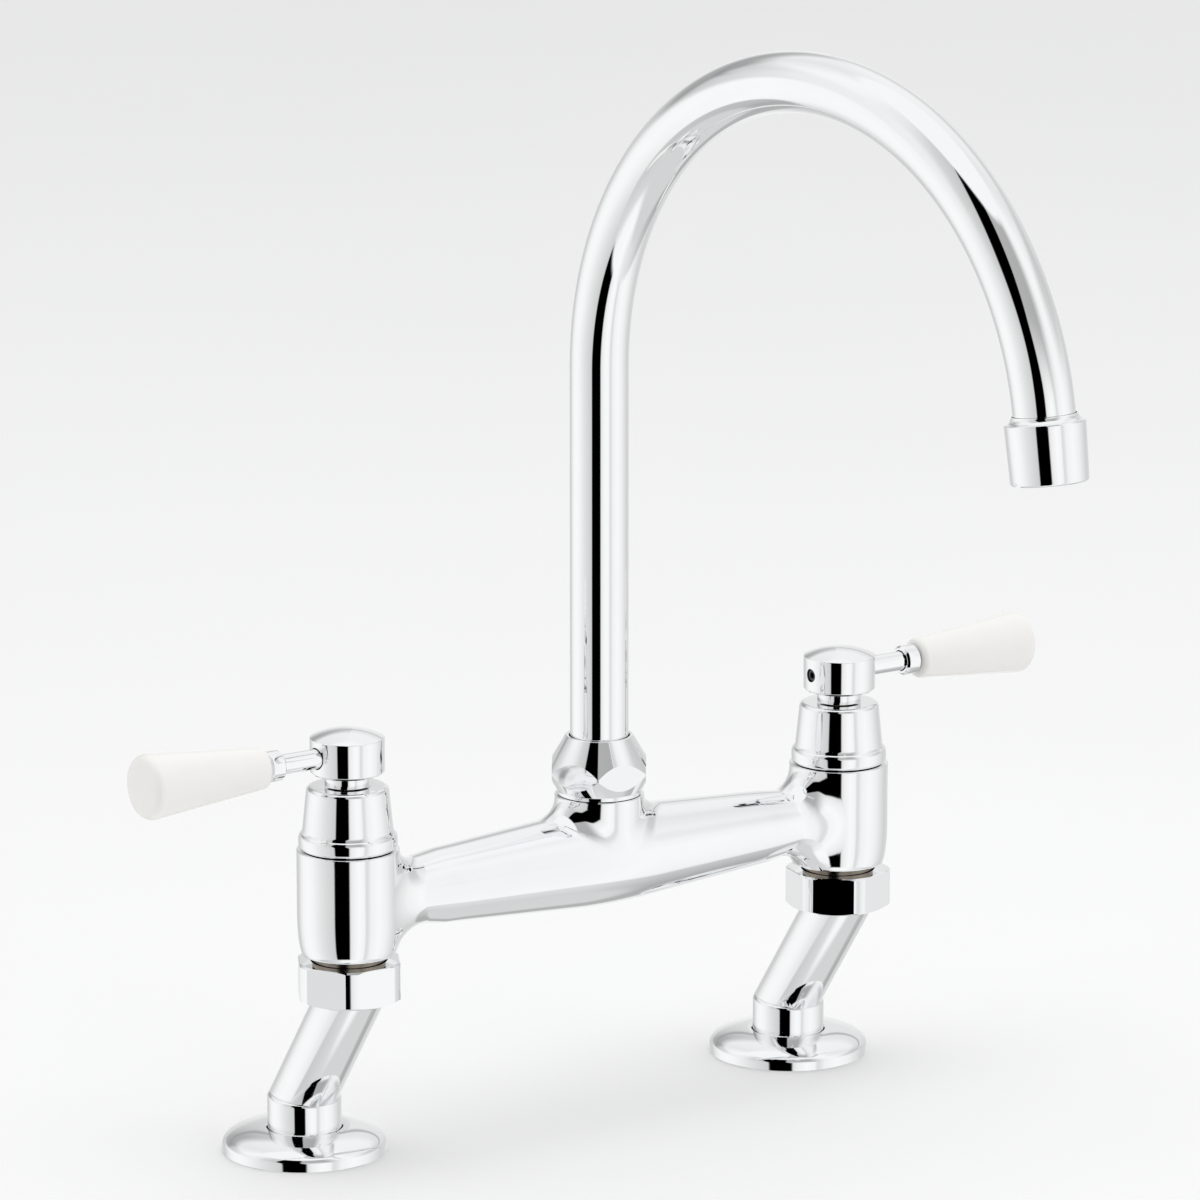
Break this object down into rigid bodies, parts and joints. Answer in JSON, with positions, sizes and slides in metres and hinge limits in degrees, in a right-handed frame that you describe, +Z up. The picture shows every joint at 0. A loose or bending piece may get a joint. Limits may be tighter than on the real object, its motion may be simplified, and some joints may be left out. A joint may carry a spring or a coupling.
{
  "type": "bridge kitchen faucet",
  "caption": "Deck-mounted bridge mixer tap: cranked legs carry a bellied bridge with quarter-turn ceramic lever valves and a swivelling swan-neck spout.",
  "frame": {"origin": "on the deck, midway between the centres of the two tap holes", "axes": "+X along the bridge from the hot side to the cold side, -Y towards the user, where the spout points, +Z up"},
  "size_m": [0.3566, 0.2803, 0.3741],
  "materials": {
    "chrome": "polished chromium plate on brass",
    "brass": "turned, bare",
    "ceramic": "glazed white porcelain",
    "disc_ceramic": "lapped technical ceramic",
    "rubber": "moulded, matt",
    "fibre": "pressed red fibre, matt",
    "plastic": "moulded, satin",
    "steel": "dark, turned"
  },
  "bodies": {
    "bridge": {"bridge_body": "chrome", "spout_nut": "chrome", "left_flange": "chrome", "left_deck_seal": "rubber", "left_leg": "chrome", "left_union_nut": "chrome", "left_union_washer": "fibre", "left_union_nipple": "brass", "left_seat_washer": "rubber", "left_fixed_disc": "disc_ceramic", "left_valve_body": "brass", "left_bonnet": "chrome", "right_flange": "chrome", "right_deck_seal": "rubber", "right_leg": "chrome", "right_union_nut": "chrome", "right_union_washer": "fibre", "right_union_nipple": "brass", "right_seat_washer": "rubber", "right_fixed_disc": "disc_ceramic", "right_valve_body": "brass", "right_bonnet": "chrome"},
    "spout": {"spout_spigot": "brass", "spout_ring_1": "rubber", "spout_ring_2": "rubber", "spout_bush": "plastic", "spout_tube": "chrome", "outlet_sleeve": "brass", "aerator_seal": "rubber", "aerator_insert": "plastic", "aerator_housing": "chrome"},
    "left_lever": {"left_lever_hub": "chrome", "left_set_screw": "steel", "left_lever_stem": "chrome", "left_lever_ferrule": "chrome", "left_lever_handle": "ceramic", "left_spindle": "brass", "left_spindle_ring": "rubber", "left_moving_disc": "disc_ceramic"},
    "right_lever": {"right_lever_hub": "chrome", "right_set_screw": "steel", "right_lever_stem": "chrome", "right_lever_ferrule": "chrome", "right_lever_handle": "ceramic", "right_spindle": "brass", "right_spindle_ring": "rubber", "right_moving_disc": "disc_ceramic"}
  },
  "joints": [
    {"name": "spout_swivel", "type": "hinge", "parent": "bridge", "child": "spout", "pos_m": [0, -0.028, 0.11], "axis": [0, 0, 1], "continuous": true},
    {"name": "left_lever_turn", "type": "hinge", "parent": "bridge", "child": "left_lever", "pos_m": [-0.1, -0.028, 0.11], "axis": [0, 0, 1], "range_deg": [0, 90]},
    {"name": "right_lever_turn", "type": "hinge", "parent": "bridge", "child": "right_lever", "pos_m": [0.1, -0.028, 0.11], "axis": [0, 0, 1], "range_deg": [-90, 0]}
  ]
}
